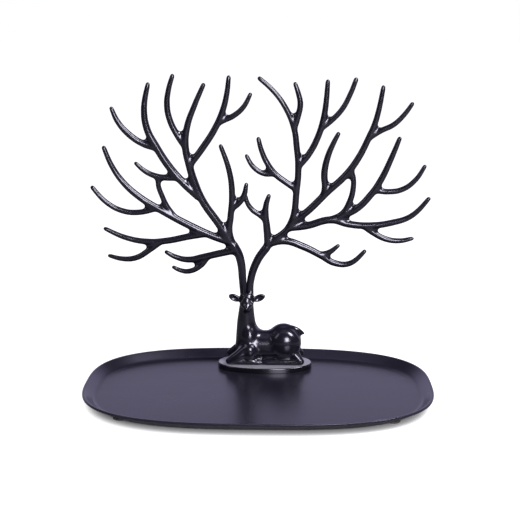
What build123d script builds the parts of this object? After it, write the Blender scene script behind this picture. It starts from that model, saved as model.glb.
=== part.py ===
from build123d import *
import math
import os

os.makedirs("parts", exist_ok=True)

# Jewelry tree: a small resting deer on an oval dish, with two tall branching antlers to hang
# necklaces, bracelets and rings on. Everything is moulded plastic. Sizes are in millimetres, the
# deer faces -Y, Z is up, and the origin is on the table under the middle of the dish.

# Dish
tray_length = 250.0
tray_width = 156.0
tray_height = 9.0
tray_corner_power = 2.9
tray_ground_gap = 0.8
tray_floor_thickness = 2.4
tray_rim_thickness = 1.6
tray_rim_band = 1.4
tray_rim_round = 0.6
tray_inner_slope_run = 8.0
tray_outer_slope_run = 10.0
tray_crease_radius = 3.0
tray_heel_radius = 2.0

# Anti-slip foot pads under the dish
pad_diameter = 10.0
pad_recess_depth = 0.5
pad_inset_x = 32.0
pad_inset_y = 30.0
pad_fit = 0.1

# Oval plinth that the deer sits on, and the raised seat in the dish that it locates on
plinth_length = 72.0
plinth_width = 35.0
plinth_power = 2.2
plinth_height = 4.0
plinth_plate = 2.0
plinth_skirt = 2.5
plinth_edge_round = 1.2
plinth_offset_x = 3.6
plinth_back_gap = 27.0
seat_fit = 0.25
seat_wall = 2.0

# Self-tapping screws that come up through the dish and the plinth into the deer
screw_diameter = 3.0
screw_length = 10.0
screw_head_diameter = 5.5
screw_head_height = 2.0
screw_drive_diameter = 2.2
screw_drive_depth = 1.2
screw_hole_fit = 0.2
screw_tip_room = 1.0
boss_wall = 1.8
screw_spread = 27.0
screw_offset_x = 3.0
screw_from_parting = 4.6

# Deer's shells: two hollow halves that meet on an upright plane through the middle of the body
shell_wall = 2.0
parting_offset_y = 2.5
pin_diameter = 2.4
pin_length = 3.0
pin_fit = 0.1
pin_post_wall = 1.3
neck_pin_height = 36.0
rump_pin_height = 21.0

# Deer's body. Places along the deer are from the middle of the plinth, and heights are above it
chest_x = -11.1
rump_x = 14.4
body_height = 12.8
torso_thickness = 22.0
chest_size = (23.0, 19.0, 26.0)
rump_size = (27.0, 21.0, 29.6)
rump_lift = 2.0
haunch_size = (22.4, 14.0, 22.4)
haunch_ahead = 1.5
haunch_out = 6.4
haunch_height = 15.4
shoulder_size = (11.0, 8.0, 12.0)

# Deer's limbs, each as places along, out from the parting plane and up from the plinth
neck_line = [(-14.4, 0, 30.0), (-13.5, 0, 16.0)]
neck_top_thickness = 9.2
neck_root_thickness = 17.6
tail_line = [(20.5, 0, 26.0), (25.0, 0, 24.8), (29.6, 0, 22.0)]
tail_root_thickness = 4.4
tail_tip_thickness = 2.0
shoulder_place = (-11.0, 7.5, 13.2)
knee_place = (-27.2, 10.5, 2.6)
wrist_place = (-4.0, 10.5, 1.6)
thigh_place = (20.0, 6.5, 10.0)
hock_place = (28.0, 10.5, 2.4)
toe_place = (0.0, 10.5, 1.6)
upper_leg_thickness = 9.0
leg_thickness = 4.8
hoof_thickness = 3.8
joint_step = 0.5

# Deer's head
head_offset_x = -13.8
head_size = (11.2, 12.4, 11.0)
head_drop = 5.5
muzzle_reach = 8.5
muzzle_drop = 13.0
muzzle_thickness = 9.5
nose_thickness = 4.6
pedicle_diameter = 5.1
ear_size = (10.0, 2.6, 5.2)
ear_out = 9.3
ear_drop = 4.4
ear_tilt = 24.0

# Antlers: each is one moulding with a flat tenon that drops into a socket in the deer's head
antler_seat_height = 54.3
antler_spacing = 5.3
antler_depth_gap = 4.0
antler_lean_height = 15.0
antler_cup = 4.0
antler_reach = 118.0
foot_taper_power = 0.7
branch_taper_power = 2.8
tenon_width = 3.2
tenon_depth = 5.0
tenon_length = 12.0
tenon_fit = 0.15
tenon_chamfer = 0.6

# How finely curves are cut up: points round an oval, spacing of a limb's sections, and how far the
# rings of a limb's round nose and the bands of an egg lie apart
oval_points = 32
section_spacing = 7.0
nose_steps = (0, 0.5, 0.85, 0.98)
egg_bands = 10

# Branches of each antler as its sculptor drew them, seen from the front: the thickness where the
# branch starts and at its tip, then points along its middle line, across from the head's middle
# and up from the antler's seat. The first one is the foot, and the second is the stem on it.
left_branches = [
    (4.6, 6.3, [(-2.6, -3), (-3, 8), (-5.5, 29), (-11, 40)]),
    (4.6, 2.4, [(-5.5, 29), (-11, 40), (-13, 49), (-12, 58), (-10.7, 77), (-12.8, 94),
                (-19.2, 113)]),
    (4.3, 2.1, [(-11.5, 65), (-6.3, 69), (-2.2, 74.4), (0.2, 84.5)]),
    (5.6, 2.5, [(-11, 38), (-20.7, 53.5), (-32.6, 71), (-38.8, 86), (-42.2, 98), (-44.8, 112),
                (-43.3, 126), (-37.5, 142), (-30.5, 157.5)]),
    (4.2, 2.4, [(-45.5, 112), (-50, 119), (-55.6, 130.5), (-57.7, 142), (-56.2, 153.5), (-53, 164)]),
    (4.7, 2.4, [(-42, 97.5), (-32.2, 110.5), (-22.8, 125), (-17, 138.3), (-14, 150.5), (-12.5, 163)]),
    (3.7, 2.0, [(-22, 128), (-16, 131), (-9.5, 134), (-2, 140.5), (3.5, 150.5)]),
    (5.7, 2.5, [(-35, 73.5), (-47.6, 85.5), (-57.6, 97.5), (-66.5, 112), (-72.6, 124.5),
                (-74.4, 139.5), (-71, 158)]),
    (4.5, 2.2, [(-66, 110.5), (-75.4, 113.5), (-86.4, 121), (-94.1, 130.4), (-98.5, 140.5)]),
    (4.0, 1.9, [(-50, 88.5), (-59, 88.4), (-68, 90), (-75.5, 93.8), (-82.2, 99.8)]),
    (5.4, 2.5, [(-13.5, 40), (-26, 44.5), (-39, 50.5), (-60.6, 62.2), (-80.2, 74.6), (-91.5, 85.5),
                (-99.5, 98), (-105, 112)]),
    (3.4, 2.9, [(-53.5, 59), (-59.3, 67.2), (-62.9, 75.3), (-65.3, 82.8), (-65.3, 88.5)]),
    (3.7, 2.4, [(-66, 65.5), (-80.5, 62.4), (-92, 63.5), (-104, 70), (-114.8, 82.2)]),
    (4.6, 2.1, [(-30, 46), (-42.5, 44), (-60, 40.6), (-73.5, 39.9), (-91, 43.3), (-106.5, 50.5)]),
    (4.1, 1.8, [(-65, 39.5), (-72, 34.4), (-83.2, 27.6), (-93.5, 26.8), (-104, 29.5)]),
    (5.0, 2.2, [(-8, 33.5), (-21, 30.7), (-32.5, 28.1), (-44.5, 26), (-54, 28.3), (-61.4, 32.4)]),
    (3.7, 1.8, [(-29, 28.5), (-34.8, 21.3), (-44, 16.9), (-51, 18), (-56, 20.5)]),
]
right_branches = [
    (4.6, 6.2, [(2.6, -3), (2.7, 8), (7.9, 24.5), (16.7, 37.5)]),
    (4.6, 2.5, [(7.9, 24.5), (16.7, 37.5), (31.7, 51), (37.4, 80.5), (38.3, 97), (37, 111),
                (35, 124.5), (28.3, 140.3), (19.5, 152), (8.7, 161.6)]),
    (5.2, 2.5, [(16, 36.8), (15.2, 49), (14, 61), (14.6, 68), (16.9, 75.4)]),
    (3.6, 2.2, [(14, 56), (9.4, 59.9), (4.4, 63.4), (0, 70), (-1, 75)]),
    (5.3, 2.2, [(16.2, 37.8), (28.5, 40), (43, 35.5), (56, 29), (66.2, 23.3), (77.5, 23.1),
                (89.5, 33.5)]),
    (3.8, 1.9, [(55, 29.5), (62, 31.5), (69.5, 37.3)]),
    (4.0, 2.3, [(34.9, 124), (37.6, 133), (39.4, 142.5), (37.8, 150.5), (35.2, 158)]),
    (4.2, 2.5, [(37.5, 79), (29.8, 84.2), (21.3, 90.7), (15.3, 98.8), (10.8, 109), (8.5, 118)]),
    (3.5, 2.0, [(20.5, 91), (13, 91), (5, 96), (-0.5, 105)]),
    (4.4, 2.6, [(38, 96), (45.6, 105.2), (52, 117.2), (55.9, 129.5), (57.8, 140.5), (59.3, 160)]),
    (3.5, 2.7, [(54, 124), (61.8, 130.2), (69.8, 138.8), (75.8, 150.3), (80, 161.5)]),
    (5.1, 2.4, [(32.5, 53), (44.5, 62), (60.5, 78), (73, 90), (82, 102.5), (90, 119), (94.6, 131),
                (99.5, 156)]),
    (4.7, 2.4, [(56.5, 73), (58.3, 80), (57.6, 91), (60, 104), (64, 114), (68, 122)]),
    (3.5, 2.2, [(90, 118), (98.5, 123.5), (107.2, 127.8), (114.8, 135.2), (121, 144)]),
    (5.2, 2.3, [(31, 50), (44.5, 51.7), (63.5, 56.5), (76, 53.5), (90, 52.5), (108, 55),
                (122.5, 60.5), (135.5, 74.5)]),
    (4.1, 2.7, [(62, 56.5), (71, 61), (76.9, 71), (79.2, 81.5), (79, 89), (77.5, 94.5)]),
    (4.9, 2.5, [(69, 59), (81, 64.5), (92.4, 76.2), (99, 86.5), (106.3, 102.8), (112.5, 119)]),
    (3.7, 2.0, [(94, 79.5), (104, 78.4), (115, 80.2), (124.5, 87.4), (131.5, 98.5)]),
    (4.1, 2.0, [(87, 52.5), (94.8, 47.1), (103.9, 42.6), (114, 41.3), (124.5, 43.5)]),
]

# Places that follow from the sizes above
tray_floor = tray_ground_gap + tray_floor_thickness
plinth_y = tray_width / 2 - plinth_back_gap
plinth_top = tray_floor + plinth_height
seat_top = plinth_top - plinth_plate
seat_pocket_top = seat_top - tray_floor_thickness
parting_y = plinth_y + parting_offset_y
head_x = plinth_offset_x + head_offset_x
antler_seat = plinth_top + antler_seat_height
tenon_bottom = antler_seat - tenon_length
head_height = antler_seat - head_drop
boss_top = seat_pocket_top + screw_length + screw_tip_room + boss_wall
pin_places = [
    (head_x, plinth_top + neck_pin_height),
    (plinth_offset_x + rump_x, plinth_top + rump_pin_height),
]
screw_places = []
for side in (-1, 1):
    screw_x = plinth_offset_x + screw_offset_x + side * screw_spread / 2
    screw_places.append((screw_x, parting_y + side * screw_from_parting))
pad_places = []
for side_x in (-1, 1):
    for side_y in (-1, 1):
        pad_x = side_x * (tray_length / 2 - pad_inset_x)
        pad_places.append((pad_x, side_y * (tray_width / 2 - pad_inset_y)))

# How far a cutting tool runs past the face that it cuts through
overrun = 1.0


def oval(length, width, power, height, center=(0.0, 0.0)):
    """Flat oval at a height. A power of 2 is an ellipse, and a higher one has squarer ends."""
    points = []
    for step in range(oval_points):
        angle = 2 * math.pi * (step / oval_points + 1 / 8)
        x_share = math.copysign(abs(math.cos(angle)) ** (2 / power), math.cos(angle))
        y_share = math.copysign(abs(math.sin(angle)) ** (2 / power), math.sin(angle))
        points.append((center[0] + x_share * length / 2, center[1] + y_share * width / 2, height))
    return make_face(Spline(*points, periodic=True))


def upright_cylinder(diameter, bottom, top, place):
    """Round post or hole on a vertical axis."""
    middle = Location((place[0], place[1], (bottom + top) / 2))
    return middle * Cylinder(diameter / 2, top - bottom)


def crosswise_cylinder(diameter, near, far, place):
    """Round pin, post or hole along Y, between two distances from the parting plane."""
    middle = Location((place[0], parting_y + (near + far) / 2, place[1]), (90, 0, 0))
    return middle * Cylinder(diameter / 2, far - near)


def limb(points, start_thickness, end_thickness, taper_power=1.0):
    """Round limb along a smooth curve: flat at its first point, and round past its last.

    Its thickness goes evenly from one end to the other, or later where the power is higher."""
    path = Spline(*points)
    spans = max(2, math.ceil(path.length / section_spacing))
    sections = []
    for index in range(spans + 1):
        share = index / spans
        thickness = start_thickness + (end_thickness - start_thickness) * share**taper_power
        plane = Plane(origin=path @ share, x_dir=(0, 1, 0), z_dir=path % share)
        sections.append(plane * Circle(thickness / 2))
    nose_radius = end_thickness / 2
    rings = []
    for reach in nose_steps:
        center = path @ 1 + path % 1 * (nose_radius * reach)
        plane = Plane(origin=center, x_dir=(0, 1, 0), z_dir=path % 1)
        rings.append(plane * Circle(nose_radius * math.sqrt(1 - reach**2)))
    return loft(sections) + loft(rings, ruled=True)


def egg(size, center, tilt=0.0):
    """Egg shape with its three full sizes in X, Y and Z, tilted about Y, made of narrow bands."""
    rings = []
    for step in range(egg_bands):
        angle = math.pi * (step + 0.5) / egg_bands
        plane = Plane.XZ.offset(size[1] / 2 * math.cos(angle))
        rings.append(plane * Ellipse(size[0] / 2 * math.sin(angle), size[2] / 2 * math.sin(angle)))
    return Location(center, (0, tilt, 0)) * loft(rings, ruled=True)


def deer_point(place, side=1):
    """Place on the deer's near side, where side is -1, or on its far side, where it is 1."""
    along, out, up = place
    return (plinth_offset_x + along, parting_y + side * out, plinth_top + up)


def plinth_seat(inset, bottom, top):
    """Oval block that lies inside the plinth's skirt, smaller than its pocket by the inset."""
    length = plinth_length - 2 * plinth_skirt - 2 * inset
    width = plinth_width - 2 * plinth_skirt - 2 * inset
    base = oval(length, width, plinth_power, bottom, (plinth_offset_x, plinth_y))
    return extrude(base, top - bottom)


def screw_clearance_hole(place):
    """Hole that the screw passes through with room to spare."""
    bottom = seat_pocket_top - overrun
    return upright_cylinder(screw_diameter + 2 * screw_hole_fit, bottom, plinth_top + overrun, place)


def make_tray():
    """Shallow dish with a thin rim, a raised seat for the plinth and recesses for the pads."""
    foot_length = tray_length - 2 * tray_outer_slope_run
    foot_width = tray_width - 2 * tray_outer_slope_run
    foot = oval(foot_length, foot_width, tray_corner_power, tray_ground_gap)
    rim = oval(tray_length, tray_width, tray_corner_power, tray_height - tray_rim_band)
    bowl = loft([foot, rim])
    bowl = fillet(bowl.edges().sort_by(Axis.Z)[0], tray_heel_radius)
    bowl += extrude(rim, tray_rim_band)
    floor_length = tray_length - 2 * tray_inner_slope_run
    floor_width = tray_width - 2 * tray_inner_slope_run
    floor = oval(floor_length, floor_width, tray_corner_power, tray_floor)
    lip_length = tray_length - 2 * tray_rim_thickness
    lip_width = tray_width - 2 * tray_rim_thickness
    lip = oval(lip_length, lip_width, tray_corner_power, tray_height)
    dish = loft([floor, lip])
    dish = fillet(dish.edges().sort_by(Axis.Z)[0], tray_crease_radius)
    bowl -= dish
    rim_edges = bowl.edges().filter_by_position(Axis.Z, tray_height - 0.01, tray_height + 0.01)
    bowl = fillet(rim_edges, tray_rim_round)
    bowl += plinth_seat(seat_fit, tray_floor, seat_top)
    bowl -= plinth_seat(seat_fit + seat_wall, tray_ground_gap, seat_pocket_top)
    for place in pad_places:
        recess_diameter = pad_diameter + 2 * pad_fit
        bowl -= upright_cylinder(recess_diameter, 0, tray_ground_gap + pad_recess_depth, place)
    for place in screw_places:
        bowl -= screw_clearance_hole(place)
    return bowl


def make_foot_pads():
    """Four rubber discs set in the dish's underside."""
    pads = []
    for place in pad_places:
        pads.append(upright_cylinder(pad_diameter, 0, tray_ground_gap + pad_recess_depth, place))
    return Compound(children=pads)


def make_plinth():
    """Oval plate with a skirt, dropped over the dish's seat."""
    outline = oval(plinth_length, plinth_width, plinth_power, tray_floor, (plinth_offset_x, plinth_y))
    plinth = extrude(outline, plinth_height)
    plinth = fillet(plinth.edges().sort_by(Axis.Z)[-1], plinth_edge_round)
    plinth -= plinth_seat(0, tray_floor - overrun, seat_top)
    for place in screw_places:
        plinth -= screw_clearance_hole(place)
    return plinth


def make_base_screws():
    """Two pan-head screws, their heads inside the pocket under the plinth."""
    screws = []
    head_bottom = seat_pocket_top - screw_head_height
    drive_top = head_bottom + screw_drive_depth
    for place in screw_places:
        screw = upright_cylinder(screw_head_diameter, head_bottom, seat_pocket_top, place)
        screw += upright_cylinder(screw_diameter, seat_pocket_top, seat_pocket_top + screw_length, place)
        screw -= upright_cylinder(screw_drive_diameter, head_bottom - overrun, drive_top, place)
        screws.append(screw)
    return Compound(children=screws)


def antler_seats():
    """Middle of each antler's foot, left first."""
    return [(head_x - antler_spacing / 2, parting_y), (head_x + antler_spacing / 2, parting_y)]


def deer_skin():
    """Outside of the whole deer, from the plinth up to the flat tops that the antlers stand on."""
    chest = deer_point((chest_x, 0, body_height))
    hips = deer_point((rump_x, 0, body_height))
    head = (head_x, parting_y, head_height)
    nose = (head_x, parting_y - muzzle_reach, antler_seat - muzzle_drop)
    neck = [head] + [deer_point(place) for place in neck_line]
    tail = [deer_point(place) for place in tail_line]
    skin = limb([chest, hips], torso_thickness, torso_thickness)
    pieces = [
        egg(chest_size, chest),
        egg(rump_size, deer_point((rump_x, 0, body_height + rump_lift))),
        limb(neck, neck_top_thickness, neck_root_thickness),
        egg(head_size, head),
        limb([head, nose], muzzle_thickness, nose_thickness),
        limb(tail, tail_root_thickness, tail_tip_thickness),
    ]
    for side in (-1, 1):
        ear_place = (head_x + side * ear_out, parting_y, antler_seat - ear_drop)
        haunch_place = (rump_x + haunch_ahead, haunch_out, haunch_height)
        shoulder = deer_point(shoulder_place, side)
        knee = deer_point(knee_place, side)
        wrist = deer_point(wrist_place, side)
        thigh = deer_point(thigh_place, side)
        hock = deer_point(hock_place, side)
        toe = deer_point(toe_place, side)
        pieces.append(egg(ear_size, ear_place, -side * ear_tilt))
        pieces.append(egg(haunch_size, deer_point(haunch_place, side)))
        pieces.append(egg(shoulder_size, shoulder))
        pieces.append(limb([shoulder, knee], upper_leg_thickness, leg_thickness))
        pieces.append(limb([knee, wrist], leg_thickness - joint_step, hoof_thickness))
        pieces.append(limb([thigh, hock], upper_leg_thickness, leg_thickness))
        pieces.append(limb([hock, toe], leg_thickness - joint_step, hoof_thickness))
    for place in antler_seats():
        pieces.append(upright_cylinder(pedicle_diameter, head_height, antler_seat, place))
    skin += pieces
    skin = split(skin, bisect_by=Plane((0, 0, antler_seat)), keep=Keep.BOTTOM)
    return split(skin, bisect_by=Plane((0, 0, plinth_top)), keep=Keep.TOP)


def deer_hollow():
    """Inside of the body: the skin's big forms less the wall, less the posts that stand in them."""
    less = 2 * shell_wall
    chest = deer_point((chest_x, 0, body_height))
    hips = deer_point((rump_x, 0, body_height))
    hollow = limb([chest, hips], torso_thickness - less, torso_thickness - less)
    hollow += egg(tuple(size - less for size in chest_size), chest)
    rump = deer_point((rump_x, 0, body_height + rump_lift))
    hollow += egg(tuple(size - less for size in rump_size), rump)
    hollow = split(hollow, bisect_by=Plane((0, 0, plinth_top + shell_wall)), keep=Keep.TOP)
    for place in screw_places:
        boss_diameter = screw_diameter + 2 * boss_wall
        hollow -= upright_cylinder(boss_diameter, plinth_top, boss_top, place)
    post_diameter = pin_diameter + 2 * pin_post_wall
    return hollow - crosswise_cylinder(post_diameter, -rump_size[1], rump_size[1], pin_places[1])


def half_space(side):
    """Block that covers everything in front of the parting plane, or behind it."""
    reach = 2 * tray_length
    return Pos(0, parting_y + side * reach / 2, 0) * Box(reach, reach, reach)


def make_deer_shells():
    """The front and rear halves of the deer, with pins on the front half and holes in the rear."""
    deer = deer_skin() - deer_hollow()
    for place in screw_places:
        deer -= upright_cylinder(screw_diameter, plinth_top - overrun, boss_top - boss_wall, place)
    socket_width = tenon_width + 2 * tenon_fit
    socket_depth = tenon_depth + 2 * tenon_fit
    socket_height = tenon_length + tenon_fit + overrun
    socket = Box(socket_width, socket_depth, socket_height, align=(Align.CENTER, Align.CENTER, Align.MAX))
    for place in antler_seats():
        deer -= Pos(place[0], place[1], antler_seat + overrun) * socket
    front = deer & half_space(-1)
    rear = deer & half_space(1)
    for place in pin_places:
        front += crosswise_cylinder(pin_diameter, -overrun, pin_length, place)
        hole_diameter = pin_diameter + 2 * pin_fit
        rear -= crosswise_cylinder(hole_diameter, -overrun, pin_length + pin_fit, place)
    return front, rear


def make_antler(side, branches):
    """One antler: all its branches fused into one moulding, with the tenon under its flat foot.

    A branch's rounded tip ends at the last point of its line."""
    limbs = []
    for start_thickness, tip_thickness, line in branches:
        taper_power = branch_taper_power if limbs else foot_taper_power
        points = []
        for x, z in line:
            lean = side * antler_depth_gap / 2 * max(0, min(1, z / antler_lean_height))
            cup = antler_cup * (x / antler_reach) ** 2
            points.append((head_x + x, parting_y + lean - cup, antler_seat + z))
        last_step = Vector(points[-1]) - Vector(points[-2])
        points[-1] = Vector(points[-1]) - last_step.normalized() * tip_thickness / 2
        limbs.append(limb(points, start_thickness, tip_thickness, taper_power))
    antler = limbs[0] + limbs[1:]
    antler = split(antler, bisect_by=Plane((0, 0, antler_seat)), keep=Keep.TOP)
    tenon_height = tenon_length + 2 * overrun
    tenon = Box(tenon_width, tenon_depth, tenon_height, align=(Align.CENTER, Align.CENTER, Align.MIN))
    tenon = chamfer(tenon.edges().group_by(Axis.Z)[0], tenon_chamfer)
    return antler + Pos(head_x + side * antler_spacing / 2, parting_y, tenon_bottom) * tenon


front_shell, rear_shell = make_deer_shells()
nodes = {
    "tray": make_tray(),
    "foot_pads": make_foot_pads(),
    "plinth": make_plinth(),
    "base_screws": make_base_screws(),
    "deer_front_shell": front_shell,
    "deer_rear_shell": rear_shell,
    "antler_left": make_antler(-1, left_branches),
    "antler_right": make_antler(1, right_branches),
}
for name, shape in nodes.items():
    export_step(shape, f"parts/{name}.step")
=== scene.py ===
import math

import bpy
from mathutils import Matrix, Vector


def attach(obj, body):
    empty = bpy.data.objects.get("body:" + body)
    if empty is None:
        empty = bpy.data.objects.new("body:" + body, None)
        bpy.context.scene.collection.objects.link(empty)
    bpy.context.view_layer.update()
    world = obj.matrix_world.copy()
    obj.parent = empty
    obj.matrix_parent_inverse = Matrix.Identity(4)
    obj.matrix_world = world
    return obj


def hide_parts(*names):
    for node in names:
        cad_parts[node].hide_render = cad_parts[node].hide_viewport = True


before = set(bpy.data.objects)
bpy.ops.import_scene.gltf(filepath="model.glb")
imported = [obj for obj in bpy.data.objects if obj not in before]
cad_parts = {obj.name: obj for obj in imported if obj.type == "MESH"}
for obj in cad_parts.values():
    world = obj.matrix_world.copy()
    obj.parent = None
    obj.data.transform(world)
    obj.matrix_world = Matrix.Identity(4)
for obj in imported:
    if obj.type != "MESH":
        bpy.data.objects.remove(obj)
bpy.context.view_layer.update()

# Camera. It stands in front of the dish, a little higher than the tips of the antlers, and looks
# down at about half the height of the object, without a roll, as the photograph was taken.
# Sizes here and below are in millimetres, and mm turns them into metres.
mm = 0.001
camera_place = Vector((21.3, -721.3, 279.2)) * mm
camera_aim = Vector((1.3, 0.0, 100.2)) * mm
bpy.ops.object.camera_add(location=camera_place)
camera = bpy.context.object
camera.name = "photo_camera"
camera.rotation_euler = (camera_aim - camera_place).to_track_quat("-Z", "Y").to_euler()
camera.data.sensor_width = 36.0
camera.data.lens = 73.2
camera.data.clip_start = 0.02
camera.data.clip_end = 50.0
bpy.context.scene.camera = camera


# Dish. A shallow oval tray, injection moulded in black plastic with a satin, finely sparked face.
# Its floor is raised under the deer into a seat that the plinth drops over, and its underside has
# four round recesses for the pads.
tray_length = 250.0
tray_width = 156.0
tray_height = 9.0
tray_power = 2.9
tray_bottom = 0.8
tray_floor = 3.2
rim_thickness = 1.6
rim_band = 1.4
rim_round = 0.6
inner_run = 8.0
outer_run = 10.0
plinth_middle = (3.6, 51.0)
plinth_power = 2.2
seat_size = (66.5, 29.5)
seat_top = 5.2
pocket_size = (62.5, 25.5)
pocket_top = 2.8
pad_recess_size = 10.2
pad_recess_top = 1.3
pad_places = [(x, y) for x in (-93.0, 93.0) for y in (-48.0, 48.0)]
screw_places = [(-6.9, 48.9), (20.1, 58.1)]
screw_hole_size = 3.4


def only(piece):
    """Deselects everything, then selects one object and makes it the active one."""
    bpy.ops.object.select_all(action="DESELECT")
    piece.select_set(True)
    bpy.context.view_layer.objects.active = piece


def oval_point(length, width, power, angle):
    """Point of an oval outline. A power of 2 is an ellipse, and a higher one has squarer ends."""
    across = math.copysign(abs(math.cos(angle)) ** (2 / power), math.cos(angle)) * length / 2
    along = math.copysign(abs(math.sin(angle)) ** (2 / power), math.sin(angle)) * width / 2
    return across, along


def turned_oval(name, length, width, power, middle, profile, segments=224):
    """Solid with an oval plan: a circle is set on the oval, then extruded through the profile.

    The profile lists how far each ring lies inside the outline, and its height. Both of its ends
    are closed by a flat face."""
    bpy.ops.object.select_all(action="DESELECT")
    bpy.ops.mesh.primitive_circle_add(vertices=segments, radius=1.0)
    solid = bpy.context.object
    solid.name = solid.data.name = name

    def place(vertices, inset, height):
        for index, vertex in enumerate(vertices):
            angle = 2 * math.pi * (index + 0.5) / segments
            across, along = oval_point(length - 2 * inset, width - 2 * inset, power, angle)
            vertex.co = Vector((middle[0] + across, middle[1] + along, height)) * mm

    place(solid.data.vertices, *profile[0])
    bpy.ops.object.mode_set(mode="EDIT")
    bpy.ops.mesh.select_all(action="SELECT")
    bpy.ops.mesh.edge_face_add()
    for inset, height in profile[1:]:
        bpy.ops.mesh.extrude_region_move()
        bpy.ops.object.mode_set(mode="OBJECT")
        ring = [vertex for vertex in solid.data.vertices if vertex.select]
        ring.sort(key=lambda vertex: vertex.index)
        place(ring, inset, height)
        bpy.ops.object.mode_set(mode="EDIT")
    bpy.ops.mesh.select_all(action="SELECT")
    bpy.ops.mesh.normals_make_consistent(inside=False)
    bpy.ops.object.mode_set(mode="OBJECT")
    return solid


def arc_steps(start, corner, end, count=5):
    """Profile steps that round a corner between two points of it."""
    steps = []
    for step in range(count + 1):
        share = step / count
        near = [a + (b - a) * share for a, b in zip(start, corner)]
        far = [a + (b - a) * share for a, b in zip(corner, end)]
        steps.append(tuple(a + (b - a) * share for a, b in zip(near, far)))
    return steps


def combine(piece, other, operation):
    """Joins another solid to a piece, or cuts it out, and removes the other solid."""
    only(piece)
    tool = piece.modifiers.new("cut", "BOOLEAN")
    tool.operation = operation
    tool.solver = "EXACT"
    tool.object = other
    bpy.ops.object.modifier_apply(modifier=tool.name)
    bpy.data.objects.remove(other)


def round_bar(size, bottom, top, middle, vertices=48):
    """Upright round bar, made to cut holes with."""
    bpy.ops.object.select_all(action="DESELECT")
    bpy.ops.mesh.primitive_cylinder_add(
        vertices=vertices, radius=size / 2 * mm, depth=(top - bottom) * mm,
        location=(middle[0] * mm, middle[1] * mm, (bottom + top) / 2 * mm))
    bar = bpy.context.object
    bpy.ops.object.transform_apply(location=True, rotation=True, scale=True)
    return bar


def smooth_by_angle(piece, degrees):
    """Smooth shading that keeps edges sharper than the angle."""
    only(piece)
    bpy.ops.object.shade_smooth_by_angle(angle=math.radians(degrees))


rim_foot = tray_height - rim_band
slope = (tray_height - tray_floor) / (inner_run - rim_thickness)
tray_profile = [(outer_run + 3.0, tray_bottom)]
tray_profile += arc_steps((outer_run + 1.6, tray_bottom), (outer_run, tray_bottom),
                          (outer_run - 1.3, tray_bottom + 0.9))
tray_profile += [(4.4, 4.7), (0.6, 7.25)]
tray_profile += arc_steps((0.12, 7.5), (0.0, rim_foot), (0.0, 7.9), 3)
tray_profile += arc_steps((0.0, tray_height - rim_round), (0.0, tray_height), (rim_round, tray_height))
tray_profile += arc_steps((rim_thickness - rim_round, tray_height), (rim_thickness, tray_height),
                          (rim_thickness + 0.42, tray_height - 0.42))
tray_profile += [(4.2, 6.65)]
tray_profile += arc_steps((inner_run - 1.5, tray_floor + 1.5 * slope), (inner_run, tray_floor),
                          (inner_run + 2.0, tray_floor), 8)
tray_profile += [(inner_run + 3.5, tray_floor), (inner_run + 12.0, tray_floor)]
dish = turned_oval("dish", tray_length, tray_width, tray_power, (0.0, 0.0), tray_profile)
seat_profile = [(0.0, 2.9), (0.0, seat_top - 0.3), (0.3, seat_top)]
combine(dish, turned_oval("seat", *seat_size, plinth_power, plinth_middle, seat_profile, 96), "UNION")
pocket_profile = [(0.0, 0.0), (0.0, pocket_top)]
combine(dish, turned_oval("pocket", *pocket_size, plinth_power, plinth_middle, pocket_profile, 96),
        "DIFFERENCE")
for place in pad_places:
    combine(dish, round_bar(pad_recess_size, 0.0, pad_recess_top, place), "DIFFERENCE")
for place in screw_places:
    combine(dish, round_bar(screw_hole_size, 0.0, seat_top + 1.0, place, 32), "DIFFERENCE")
smooth_by_angle(dish, 30.0)


class Paint:
    """A socket of the material that is being made. Sums on it add Math nodes."""

    tree = None

    def __init__(self, socket):
        self.socket = socket

    @classmethod
    def node(cls, kind, output, settings, sockets):
        """Adds a node, makes its settings, fills its sockets, and gives back one output."""
        made = cls.tree.nodes.new(kind)
        for name, value in settings.items():
            setattr(made, name, value)
        for name, value in sockets.items():
            if isinstance(value, Paint):
                cls.tree.links.new(value.socket, made.inputs[name])
            else:
                made.inputs[name].default_value = value
        return cls(made.outputs[output])

    @classmethod
    def math(cls, operation, *values):
        """Adds a Math node for up to three values or sockets."""
        return cls.node("ShaderNodeMath", 0, {"operation": operation}, dict(enumerate(values)))

    def __add__(self, other):
        return Paint.math("ADD", self, other)

    def __radd__(self, other):
        return Paint.math("ADD", other, self)

    def __rsub__(self, other):
        return Paint.math("SUBTRACT", other, self)

    def __mul__(self, other):
        return Paint.math("MULTIPLY", self, other)


def new_finish(name):
    """Starts a material and gives back its main shader node."""
    finish = bpy.data.materials.new(name)
    finish.use_nodes = True
    Paint.tree = finish.node_tree
    return finish, finish.node_tree.nodes["Principled BSDF"]


def feed(shader, socket, value):
    """Links a value that varies over the surface to one of the shader's sockets."""
    Paint.tree.links.new(value.socket, shader.inputs[socket])


def noise(place, scale, detail=2.0, roughness=0.5):
    """Noise from 0 to 1 at a scale in waves per metre."""
    return Paint.node("ShaderNodeTexNoise", "Fac", {},
                      {"Vector": place, "Scale": scale, "Detail": detail, "Roughness": roughness})


def blend_colors(share, dark, light):
    """Colour between two colours."""
    return Paint.node("ShaderNodeMix", 2, {"data_type": "RGBA"}, {0: share, 6: dark, 7: light})


def bump(height, distance, strength=1.0):
    """Small relief of a height in metres."""
    return Paint.node("ShaderNodeBump", "Normal", {}, {"Height": height, "Distance": distance,
                                                       "Strength": strength})


def place_on_piece():
    """Position on the piece, in metres."""
    return Paint.node("ShaderNodeTexCoord", "Object", {}, {})


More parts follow.
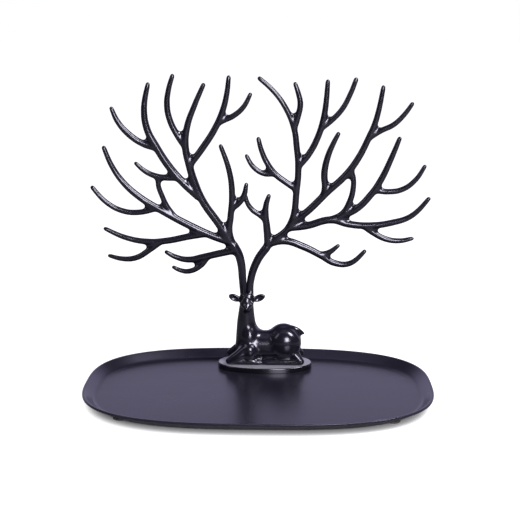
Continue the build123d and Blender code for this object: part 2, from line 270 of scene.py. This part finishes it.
satin_black, shader = new_finish("satin_black_plastic")
spot = place_on_piece()
grain = noise(spot, 2600.0, 3.0, 0.6)
clouds = noise(spot, 22.0, 3.0, 0.55)
along_dish = Paint.node("ShaderNodeMapping", "Vector", {}, {"Vector": spot, "Scale": (0.15, 1.0, 1.0)})
streaks = noise(along_dish, 160.0, 2.0, 0.5)
feed(shader, "Base Color", blend_colors(clouds, (0.006, 0.0055, 0.009, 1.0), (0.01, 0.009, 0.014, 1.0)))
feed(shader, "Roughness", 0.24 + clouds * 0.05 + streaks * 0.04)
feed(shader, "Normal", bump(grain, 0.00001, 0.3))
shader.inputs["IOR"].default_value = 1.5
shader.inputs["Specular Tint"].default_value = (0.78, 0.74, 1.0, 1.0)
dish.data.materials.clear()
dish.data.materials.append(satin_black)
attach(dish, "stand")
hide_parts("tray")


# Foot pads. Four soft black rubber discs, cut from sheet and glued into the recesses under the
# dish, so that it does not slide. They stand a little below the dish.
pad_size = 10.0
pad_edge = 0.35
pad_rubber, shader = new_finish("pad_rubber")
spot = place_on_piece()
pores = noise(spot, 3200.0, 2.0, 0.6)
dust = noise(spot, 260.0, 4.0, 0.6)
feed(shader, "Base Color", blend_colors(dust, (0.028, 0.028, 0.029, 1.0), (0.06, 0.058, 0.056, 1.0)))
feed(shader, "Roughness", 0.78 + dust * 0.12)
feed(shader, "Normal", bump(pores, 0.00005, 0.6))
for number, place in enumerate(pad_places, 1):
    pad = round_bar(pad_size, 0.0, pad_recess_top, place, 64)
    pad.name = pad.data.name = f"foot_pad_{number}"
    edge = pad.modifiers.new("edge", "BEVEL")
    edge.width = pad_edge * mm
    edge.segments = 3
    edge.limit_method = "ANGLE"
    only(pad)
    bpy.ops.object.modifier_apply(modifier=edge.name)
    smooth_by_angle(pad, 30.0)
    pad.data.materials.append(pad_rubber)
    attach(pad, "stand")
    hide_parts("foot_pads")


# Plinth. An oval plate with a skirt, dropped over the seat in the dish. It is black plastic with
# a finely grained top and a polished, rounded edge. The grain on the top is painted light grey as
# a painted sheen where the flat top catches the light.
plinth_size = (72.0, 35.0)
plinth_bottom = 3.2
plinth_top = 7.2
plinth_skirt = 2.5
plinth_round = 1.2
plinth_profile = [(plinth_skirt + 2.0, seat_top), (plinth_skirt, seat_top),
                  (plinth_skirt, plinth_bottom + 0.2), (plinth_skirt - 0.2, plinth_bottom),
                  (0.25, plinth_bottom), (0.0, plinth_bottom + 0.25)]
plinth_profile += arc_steps((0.0, plinth_top - plinth_round), (0.0, plinth_top),
                            (plinth_round, plinth_top), 6)
plinth_profile += [(plinth_round + 0.5, plinth_top), (plinth_round + 4.0, plinth_top)]
plinth = turned_oval("plinth_plate", *plinth_size, plinth_power, plinth_middle, plinth_profile, 160)
for place in screw_places:
    combine(plinth, round_bar(screw_hole_size, plinth_bottom, plinth_top + 1.0, place, 32), "DIFFERENCE")
smooth_by_angle(plinth, 35.0)
plinth_plastic_painted_sheen, shader = new_finish("grained_plinth_plastic")
spot = place_on_piece()
height = Paint.node("ShaderNodeSeparateXYZ", "Z", {}, {"Vector": spot})
top_face = Paint.node("ShaderNodeMapRange", "Result", {},
                      {"Value": height, "From Min": (plinth_top - 0.12) * mm,
                       "From Max": (plinth_top - 0.02) * mm})
grain = noise(spot, 1700.0, 3.0, 0.65)
clouds = noise(spot, 60.0, 3.0, 0.5)
# Painted sheen: the grain on the top face is painted light grey, standing in for the light the flat top
# catches, while the sides keep the plastic's near-black.
feed(shader, "Base Color",
     blend_colors(grain * top_face, (0.003, 0.003, 0.0045, 1.0), (0.34, 0.33, 0.37, 1.0)))
feed(shader, "Roughness", 0.14 + top_face * 0.18 + clouds * 0.05)
feed(shader, "Normal", bump(grain * top_face, 0.00004, 0.6))
shader.inputs["Specular Tint"].default_value = (0.9, 0.88, 1.0, 1.0)
plinth.data.materials.clear()
plinth.data.materials.append(plinth_plastic_painted_sheen)
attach(plinth, "stand")
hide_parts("plinth")


# Deer. A small resting deer in glossy black plastic, moulded as a front and a rear half that are
# pinned and glued together along the middle of its body. Two flat-sided sockets in the top of its
# head take the antlers.
parting_y = 53.5
deer_middle = Vector((3.6, parting_y, plinth_top))
head_x = -10.2
head_height = 56.0
antler_seat = 61.5
antler_spacing = 5.3
deer_swell = 1.1
deer_grain = 0.36
shrink_left_out = 0.1


def on_deer(x, y, z):
    """Place on the deer: along from the plinth's middle, out from the parting, up from the plinth."""
    return deer_middle + Vector((x, y, z))


def egg(center, size, tilt=0.0, turn=0.0, swell=deer_swell):
    """Egg shape with full sizes in X, Y and Z, tilted about Y, then turned about Z, swollen a little."""
    bpy.ops.object.select_all(action="DESELECT")
    bpy.ops.mesh.primitive_uv_sphere_add(
        segments=64, ring_count=32, radius=0.5, location=Vector(center) * mm,
        rotation=(0.0, math.radians(tilt), math.radians(turn)),
        scale=[(part + 2 * swell) * mm for part in size])
    shape = bpy.context.object
    bpy.ops.object.transform_apply(location=True, rotation=True, scale=True)
    return shape


def tapered_bar(line, thickness, swell=deer_swell, power=1.0):
    """Round bar along a smooth curve, with a round nose that ends past its last point.

    The thickness goes evenly from the first value to the last, or later where the power is higher."""
    bpy.ops.object.select_all(action="DESELECT")
    bpy.ops.curve.primitive_bezier_curve_add()
    bar = bpy.context.object
    bar.data.dimensions = "3D"
    bar.data.bevel_depth = mm
    bar.data.bevel_resolution = 14
    bar.data.resolution_u = 16
    bar.data.use_fill_caps = True
    reach = [0.0]
    for near, far in zip(line, line[1:]):
        reach.append(reach[-1] + (Vector(far) - Vector(near)).length)
    gain = thickness[1] - thickness[0]
    widths = [thickness[0] + gain * (part / reach[-1]) ** power for part in reach]
    stations = [(Vector(point), width / 2 + swell) for point, width in zip(line, widths)]
    heading = (Vector(line[-1]) - Vector(line[-2])).normalized()
    nose = widths[-1] / 2 + swell
    for share in (0.45, 0.8, 0.97):
        stations.append((Vector(line[-1]) + heading * nose * share, nose * math.sqrt(1 - share**2)))
    points = bar.data.splines[0].bezier_points
    points.add(len(stations) - len(points))
    for point, (place, radius) in zip(points, stations):
        point.co = place * mm
        point.radius = radius
        point.handle_left_type = point.handle_right_type = "AUTO"
    bpy.ops.object.convert(target="MESH")
    shape = bpy.context.object
    bpy.ops.object.transform_apply(location=True, rotation=True, scale=True)
    return shape


def mould(shapes, name, grain_size, shrink_by, rounds, last_rounds=3):
    """Melts overlapping swollen shapes into one skin, then shrinks it back to size, which leaves
    the inside corners between them rounded."""
    bpy.ops.object.select_all(action="DESELECT")
    for shape in shapes:
        shape.select_set(True)
    bpy.context.view_layer.objects.active = shapes[0]
    bpy.ops.object.join()
    skin = bpy.context.object
    skin.name = skin.data.name = name
    melt = skin.modifiers.new("melt", "REMESH")
    melt.mode = "VOXEL"
    melt.voxel_size = grain_size * mm
    ease = skin.modifiers.new("ease", "SMOOTH")
    ease.factor = 0.5
    ease.iterations = rounds
    shrink = skin.modifiers.new("shrink", "DISPLACE")
    shrink.mid_level = 0.0
    shrink.strength = -shrink_by * mm
    settle = skin.modifiers.new("settle", "SMOOTH")
    settle.factor = 0.5
    settle.iterations = last_rounds
    for step in (melt, ease, shrink, settle):
        bpy.ops.object.modifier_apply(modifier=step.name)
    return skin


def block(low, high):
    """Box between two corners, made to cut with."""
    bpy.ops.object.select_all(action="DESELECT")
    middle = (Vector(low) + Vector(high)) / 2
    bpy.ops.mesh.primitive_cube_add(size=mm, location=middle * mm, scale=Vector(high) - Vector(low))
    box = bpy.context.object
    bpy.ops.object.transform_apply(location=True, rotation=True, scale=True)
    return box


body_swell = 4.0
body_grain = 0.6
head = (head_x, parting_y, head_height)
chest = on_deer(-11.1, 0, 12.8)
hips = on_deer(14.4, 0, 12.8)
neck = [head, on_deer(-14.2, 0, 40.0), on_deer(-14.3, 0, 30.0), on_deer(-13.5, 0, 16.0)]
body = mould([
    egg(chest, (23.0, 19.0, 26.0), swell=body_swell),
    egg(on_deer(-12.0, 0, 17.0), (17.0, 21.6, 30.0), swell=body_swell),
    egg(on_deer(14.4, 0, 14.8), (27.0, 21.0, 29.6), swell=body_swell),
    tapered_bar([chest, hips], (22.0, 22.0), body_swell),
    tapered_bar(neck, (9.4, 17.8), body_swell),
], "body", body_grain, body_swell - deer_swell - shrink_left_out, 12)
forms = [
    body,
    egg(head, (11.2, 12.4, 11.0)),
    tapered_bar([head, (head_x, 46.0, 50.8)], (8.8, 4.8)),
    tapered_bar([on_deer(20.5, 0, 26), on_deer(25, 0, 24.8), on_deer(29.6, 0, 22)], (5.0, 2.2)),
]
pedicle_top = 64.0
pedicle_size = 5.1
for side in (-1, 1):
    shoulder = on_deer(-11.0, side * 7.5, 13.2)
    elbow = on_deer(-18.5, side * 10.0, 8.4)
    knee = on_deer(-27.2, side * 10.5, 2.8)
    wrist = on_deer(-4.0, side * 10.5, 1.8)
    thigh = on_deer(20.0, side * 6.5, 10.0)
    hock = on_deer(28.0, side * 10.5, 2.6)
    toe = on_deer(0.0, side * 10.5, 1.8)
    pedicle_x = head_x + side * antler_spacing / 2
    forms.append(egg((head_x + side * 3.5, 48.9, 53.3), (2.6, 4.4, 5.4), side * 25.0))
    forms.append(egg(on_deer(15.2, side * 5.0, 15.0), (25.0, 17.4, 25.4)))
    forms.append(egg(on_deer(-11.6, side * 8.6, 10.2), (12.6, 11.0, 14.0)))
    forms.append(tapered_bar([shoulder, elbow, knee], (10.5, 5.4)))
    forms.append(tapered_bar([knee, wrist], (4.6, 3.8)))
    forms.append(tapered_bar([thigh, hock], (9.5, 5.0)))
    forms.append(tapered_bar([hock, toe], (4.6, 3.8)))
    pedicle = [(pedicle_x, parting_y, head_height), (pedicle_x, parting_y, pedicle_top)]
    forms.append(tapered_bar(pedicle, (pedicle_size, pedicle_size)))
deer = mould(forms, "deer", deer_grain, deer_swell - shrink_left_out, 28, 12)
ear_size = (10.2, 3.0, 5.8)
ear_cup_size = (7.4, 2.8, 3.8)
ear_tilt = 24.0
ear_grain = 0.34
least_shrink = 0.02
ears = []
for side in (-1, 1):
    ear_place = Vector((head_x + side * 9.3, parting_y, 57.1))
    ear = egg(ear_place, ear_size, -side * ear_tilt, swell=0.0)
    cup_place = ear_place + Vector((side * 0.3, -1.6, 0.1))
    combine(ear, egg(cup_place, ear_cup_size, -side * ear_tilt, swell=0.0), "DIFFERENCE")
    ears.append(ear)
deer = mould([deer] + ears, "deer", ear_grain, least_shrink, 14, 10)

reach = 90.0
socket_size = (3.5, 5.3)
socket_bottom = 49.35
pilot_hole_size = 3.1
pilot_hole_top = 14.0
for side in (-1, 1):
    middle_x = head_x + side * antler_spacing / 2
    low = (middle_x - socket_size[0] / 2, parting_y - socket_size[1] / 2, socket_bottom)
    high = (middle_x + socket_size[0] / 2, parting_y + socket_size[1] / 2, antler_seat + 6.0)
    combine(deer, block(low, high), "DIFFERENCE")
combine(deer, block((-reach, -reach, plinth_top), (reach, 2 * reach, antler_seat)), "INTERSECT")
for place in screw_places:
    combine(deer, round_bar(pilot_hole_size, plinth_top - 1.0, pilot_hole_top, place, 32), "DIFFERENCE")

gloss_black, shader = new_finish("gloss_black_plastic")
spot = place_on_piece()
ripple = noise(spot, 90.0, 1.0, 0.5)
smears = noise(spot, 120.0, 4.0, 0.6)
feed(shader, "Base Color",
     blend_colors(smears, (0.0035, 0.0033, 0.0055, 1.0), (0.007, 0.0066, 0.011, 1.0)))
feed(shader, "Roughness", 0.17 + smears * 0.07)
feed(shader, "Normal", bump(ripple, 0.00005, 0.3))
shader.inputs["IOR"].default_value = 1.5
shader.inputs["Specular Tint"].default_value = (0.9, 0.88, 1.0, 1.0)

only(deer)
bpy.ops.object.duplicate()
rear = bpy.context.object
seam_gap = 0.06
for name, half, side in (("deer_front_half", deer, -1), ("deer_rear_half", rear, 1)):
    near = parting_y + side * seam_gap / 2
    far = near + side * reach
    combine(half, block((-reach, min(near, far), 0.0), (reach, max(near, far), reach)), "INTERSECT")
    half.name = half.data.name = name
    smooth_by_angle(half, 40.0)
    half.data.materials.clear()
    half.data.materials.append(gloss_black)
    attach(half, "stand")
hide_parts("deer_front_shell")
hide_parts("deer_rear_shell")


# Base screws. Two zinc-plated self-tapping screws with domed heads and cross recesses come up from
# under the dish through the plinth into the deer. Their heads lie in the pocket under the plinth.
screw_steel, shader = new_finish("screw_steel")
spot = place_on_piece()
along_screw = Paint.node("ShaderNodeMapping", "Vector", {}, {"Vector": spot, "Scale": (1.0, 1.0, 0.1)})
scratches = noise(along_screw, 1500.0, 2.0, 0.6)
feed(shader, "Base Color", blend_colors(scratches, (0.42, 0.42, 0.41, 1.0), (0.62, 0.62, 0.6, 1.0)))
feed(shader, "Roughness", 0.24 + scratches * 0.16)
shader.inputs["Metallic"].default_value = 1.0
head_size = 5.5
shank_size = 3.0
head_bottom = 0.8
shank_top = 12.8
thread_step = 1.25
thread_depth = 0.45
recess_length = 2.2
recess_width = 0.6
recess_depth = 1.2
for number, place in enumerate(screw_places, 1):
    flank = (head_size - shank_size) / 2
    core = flank + thread_depth
    profile = [(1.6, head_bottom), (0.9, head_bottom + 0.12), (0.35, head_bottom + 0.42),
               (0.06, head_bottom + 0.85), (0.0, head_bottom + 1.2), (0.0, pocket_top - 0.1),
               (0.1, pocket_top), (core, pocket_top)]
    height = pocket_top + 0.5
    while height + thread_step < shank_top - 1.0:
        profile += [(core, height), (flank, height + 0.4), (flank, height + 0.5), (core, height + 0.9)]
        height += thread_step
    profile += [(flank + 0.5, shank_top - 1.2), (flank + 1.3, shank_top)]
    screw = turned_oval(f"base_screw_{number}", head_size, head_size, 2.0, place, profile, 48)
    for length, width in ((recess_length, recess_width), (recess_width, recess_length)):
        low = (place[0] - length / 2, place[1] - width / 2, head_bottom - 1.0)
        high = (place[0] + length / 2, place[1] + width / 2, head_bottom + recess_depth)
        combine(screw, block(low, high), "DIFFERENCE")
    smooth_by_angle(screw, 35.0)
    screw.data.materials.clear()
    screw.data.materials.append(screw_steel)
    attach(screw, "stand")
    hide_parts("base_screws")


# Antlers. Each is one glossy black moulding, with tapering round branches that melt into thin webs
# where they fork. A flat-sided tenon under its foot plugs into the deer's head. Each branch has its
# thickness at its start and its tip, and its middle line across from the head and up from the seat.
left_branches = [
    (4.6, 6.3, [(-2.6, -3), (-3, 8), (-5.5, 29), (-11, 40)]),
    (4.6, 2.4, [(-5.5, 29), (-11, 40), (-13, 49), (-12, 58), (-10.7, 77), (-12.8, 94),
                (-19.2, 113)]),
    (4.3, 2.1, [(-11.5, 65), (-6.3, 69), (-2.2, 74.4), (0.2, 84.5)]),
    (5.6, 2.5, [(-11, 38), (-20.7, 53.5), (-32.6, 71), (-38.8, 86), (-42.2, 98), (-44.8, 112),
                (-43.3, 126), (-37.5, 142), (-30.5, 157.5)]),
    (4.2, 2.4, [(-45.5, 112), (-50, 119), (-55.6, 130.5), (-57.7, 142), (-56.2, 153.5), (-53, 164)]),
    (4.7, 2.4, [(-42, 97.5), (-32.2, 110.5), (-22.8, 125), (-17, 138.3), (-14, 150.5), (-12.5, 163)]),
    (3.7, 2.0, [(-22, 128), (-16, 131), (-9.5, 134), (-2, 140.5), (3.5, 150.5)]),
    (5.7, 2.5, [(-35, 73.5), (-47.6, 85.5), (-57.6, 97.5), (-66.5, 112), (-72.6, 124.5),
                (-74.4, 139.5), (-71, 158)]),
    (4.5, 2.2, [(-66, 110.5), (-75.4, 113.5), (-86.4, 121), (-94.1, 130.4), (-98.5, 140.5)]),
    (4.0, 1.9, [(-50, 88.5), (-59, 88.4), (-68, 90), (-75.5, 93.8), (-82.2, 99.8)]),
    (5.4, 2.5, [(-13.5, 40), (-26, 44.5), (-39, 50.5), (-60.6, 62.2), (-80.2, 74.6), (-91.5, 85.5),
                (-99.5, 98), (-105, 112)]),
    (3.4, 2.9, [(-53.5, 59), (-59.3, 67.2), (-62.9, 75.3), (-65.3, 82.8), (-65.3, 88.5)]),
    (3.7, 2.4, [(-66, 65.5), (-80.5, 62.4), (-92, 63.5), (-104, 70), (-114.8, 82.2)]),
    (4.6, 2.1, [(-30, 46), (-42.5, 44), (-60, 40.6), (-73.5, 39.9), (-91, 43.3), (-106.5, 50.5)]),
    (4.1, 1.8, [(-65, 39.5), (-72, 34.4), (-83.2, 27.6), (-93.5, 26.8), (-104, 29.5)]),
    (5.0, 2.2, [(-8, 33.5), (-21, 30.7), (-32.5, 28.1), (-44.5, 26), (-54, 28.3), (-61.4, 32.4)]),
    (3.7, 1.8, [(-29, 28.5), (-34.8, 21.3), (-44, 16.9), (-51, 18), (-56, 20.5)]),
]
right_branches = [
    (4.6, 6.2, [(2.6, -3), (2.7, 8), (7.9, 24.5), (16.7, 37.5)]),
    (4.6, 2.5, [(7.9, 24.5), (16.7, 37.5), (31.7, 51), (37.4, 80.5), (38.3, 97), (37, 111),
                (35, 124.5), (28.3, 140.3), (19.5, 152), (8.7, 161.6)]),
    (5.2, 2.5, [(16, 36.8), (15.2, 49), (14, 61), (14.6, 68), (16.9, 75.4)]),
    (3.6, 2.2, [(14, 56), (9.4, 59.9), (4.4, 63.4), (0, 70), (-1, 75)]),
    (5.3, 2.2, [(16.2, 37.8), (28.5, 40), (43, 35.5), (56, 29), (66.2, 23.3), (77.5, 23.1),
                (89.5, 33.5)]),
    (3.8, 1.9, [(55, 29.5), (62, 31.5), (69.5, 37.3)]),
    (4.0, 2.3, [(34.9, 124), (37.6, 133), (39.4, 142.5), (37.8, 150.5), (35.2, 158)]),
    (4.2, 2.5, [(37.5, 79), (29.8, 84.2), (21.3, 90.7), (15.3, 98.8), (10.8, 109), (8.5, 118)]),
    (3.5, 2.0, [(20.5, 91), (13, 91), (5, 96), (-0.5, 105)]),
    (4.4, 2.6, [(38, 96), (45.6, 105.2), (52, 117.2), (55.9, 129.5), (57.8, 140.5), (59.3, 160)]),
    (3.5, 2.7, [(54, 124), (61.8, 130.2), (69.8, 138.8), (75.8, 150.3), (80, 161.5)]),
    (5.1, 2.4, [(32.5, 53), (44.5, 62), (60.5, 78), (73, 90), (82, 102.5), (90, 119), (94.6, 131),
                (99.5, 156)]),
    (4.7, 2.4, [(56.5, 73), (58.3, 80), (57.6, 91), (60, 104), (64, 114), (68, 122)]),
    (3.5, 2.2, [(90, 118), (98.5, 123.5), (107.2, 127.8), (114.8, 135.2), (121, 144)]),
    (5.2, 2.3, [(31, 50), (44.5, 51.7), (63.5, 56.5), (76, 53.5), (90, 52.5), (108, 55),
                (122.5, 60.5), (135.5, 74.5)]),
    (4.1, 2.7, [(62, 56.5), (71, 61), (76.9, 71), (79.2, 81.5), (79, 89), (77.5, 94.5)]),
    (4.9, 2.5, [(69, 59), (81, 64.5), (92.4, 76.2), (99, 86.5), (106.3, 102.8), (112.5, 119)]),
    (3.7, 2.0, [(94, 79.5), (104, 78.4), (115, 80.2), (124.5, 87.4), (131.5, 98.5)]),
    (4.1, 2.0, [(87, 52.5), (94.8, 47.1), (103.9, 42.6), (114, 41.3), (124.5, 43.5)]),
]
antler_depth_gap = 4.0
antler_lean_height = 15.0
antler_cup = 4.0
antler_reach = 118.0
foot_taper_power = 0.7
branch_taper_power = 2.8
antler_swell = 1.15
antler_grain = 0.5
antler_rounds = 30
antler_last_rounds = 7
tenon_size = (3.2, 5.0)
tenon_bottom = 49.5
tenon_bevel = 0.6
for name, side, branches, body, node in (
        ("left_antler_branches", -1, left_branches, "left_antler", "antler_left"),
        ("right_antler_branches", 1, right_branches, "right_antler", "antler_right")):
    bars = []
    for start, tip, line in branches:
        widths = []
        for width in (start, tip):
            loss = antler_rounds / (width / 2 + antler_swell) + antler_last_rounds / (width / 2)
            widths.append(width + 2 * loss * antler_grain**2 / 8)
        places = []
        for x, z in line:
            lean = side * antler_depth_gap / 2 * max(0.0, min(1.0, z / antler_lean_height))
            cup = antler_cup * (x / antler_reach) ** 2
            places.append(Vector((head_x + x, parting_y + lean - cup, antler_seat + z)))
        places[-1] -= (places[-1] - places[-2]).normalized() * tip / 2
        bars.append(tapered_bar(places, widths, antler_swell,
                                branch_taper_power if bars else foot_taper_power))
    antler = mould(bars, name, antler_grain, antler_swell, antler_rounds, antler_last_rounds)
    combine(antler, block((-200.0, -100.0, antler_seat), (200.0, 200.0, 300.0)), "INTERSECT")
    middle_x = head_x + side * antler_spacing / 2
    tenon = block((middle_x - tenon_size[0] / 2, parting_y - tenon_size[1] / 2, tenon_bottom),
                  (middle_x + tenon_size[0] / 2, parting_y + tenon_size[1] / 2, antler_seat + 1.5))
    edge = tenon.modifiers.new("edge", "BEVEL")
    edge.width = tenon_bevel * mm
    bpy.ops.object.modifier_apply(modifier=edge.name)
    combine(antler, tenon, "UNION")
    smooth_by_angle(antler, 45.0)
    antler.data.materials.clear()
    antler.data.materials.append(gloss_black)
    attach(antler, body)
    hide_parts(node)


# Floor, backdrop light and lamps. A wide white table, which glows white to the camera but is dimmed
# by ambient occlusion close to the dish as a painted contact shadow, a narrow softbox high on the
# right, a wider one beside the camera and a long, dim one high on the left.
bpy.ops.object.select_all(action="DESELECT")
bpy.ops.mesh.primitive_plane_add(size=12.0, location=(0.0, 0.0, 0.0))
floor = bpy.context.object
floor.name = "table_top"
white_table, shader = new_finish("white_table")
shader.inputs["Base Color"].default_value = (0.25, 0.25, 0.25, 1.0)
shader.inputs["Roughness"].default_value = 0.9
shader.inputs["Specular IOR Level"].default_value = 0.0
# Painted shadow: the table's glow to the camera is scaled down by ambient occlusion near the dish, which
# paints the soft contact shadow under it.
openness = Paint.node("ShaderNodeAmbientOcclusion", "AO", {"samples": 24}, {"Distance": 0.026})
glow_outside_painted_shadow = Paint.node("ShaderNodeMapRange", "Result", {"interpolation_type": "SMOOTHSTEP"},
                 {"Value": openness, "From Min": 0.0, "From Max": 0.52})
seen = Paint.node("ShaderNodeLightPath", "Is Camera Ray", {}, {})
shader.inputs["Emission Color"].default_value = (1.0, 1.0, 1.0, 1.0)
Paint.tree.links.new((seen * glow_outside_painted_shadow).socket, shader.inputs["Emission Strength"])
floor.data.materials.append(white_table)

world = bpy.data.worlds.new("white_studio")
bpy.context.scene.world = world
world.use_nodes = True
Paint.tree = world.node_tree
direction = Paint.node("ShaderNodeTexCoord", "Generated", {}, {})
up = Paint.node("ShaderNodeSeparateXYZ", "Z", {}, {"Vector": direction})
back = Paint.node("ShaderNodeSeparateXYZ", "Y", {}, {"Vector": direction})
low_share = Paint.node("ShaderNodeMapRange", "Result", {"interpolation_type": "SMOOTHSTEP"},
                       {"Value": up, "From Min": 0.3, "From Max": 0.7, "To Min": 1.0, "To Max": 0.0})
back_share = Paint.node("ShaderNodeMapRange", "Result", {"interpolation_type": "SMOOTHSTEP"},
                        {"Value": back, "From Min": 0.2, "From Max": 0.8})
overhead = Paint.node("ShaderNodeMapRange", "Result", {"interpolation_type": "SMOOTHSTEP"},
                      {"Value": up, "From Min": 0.86, "From Max": 0.98})
walls = 0.03 + low_share * back_share * 0.9 + overhead * 0.55
seen = Paint.node("ShaderNodeLightPath", "Is Camera Ray", {}, {})
mirrored = Paint.node("ShaderNodeLightPath", "Is Glossy Ray", {}, {})
strength = seen + (1 - seen) * (mirrored * walls + (1 - mirrored) * 0.25)
tint = blend_colors(seen, (0.86, 0.81, 1.18, 1.0), (1.0, 1.0, 1.0, 1.0))
Paint.tree.links.new(strength.socket, Paint.tree.nodes["Background"].inputs["Strength"])
Paint.tree.links.new(tint.socket, Paint.tree.nodes["Background"].inputs["Color"])

lamps = (
    ("right_softbox", (0.62, -0.25, 0.95), (0.0, 0.05, 0.12), 0.26, 0.5, 17.0),
    ("camera_softbox", (0.3, -1.15, 0.5), (0.0, 0.05, 0.06), 0.4, 0.46, 17.0),
    ("left_softbox", (-0.75, -0.35, 0.75), (0.0, 0.05, 0.12), 0.2, 0.6, 1.2),
)
for name, place, aim, width, height, power in lamps:
    bpy.ops.object.light_add(type="AREA", location=place)
    lamp = bpy.context.object
    lamp.name = name
    lamp.rotation_euler = (Vector(aim) - Vector(place)).to_track_quat("-Z", "Y").to_euler()
    lamp.data.shape = "RECTANGLE"
    lamp.data.size = width
    lamp.data.size_y = height
    lamp.data.energy = power
    lamp.data.color = (0.97, 0.95, 1.0)

bpy.context.scene.view_settings.view_transform = "Standard"
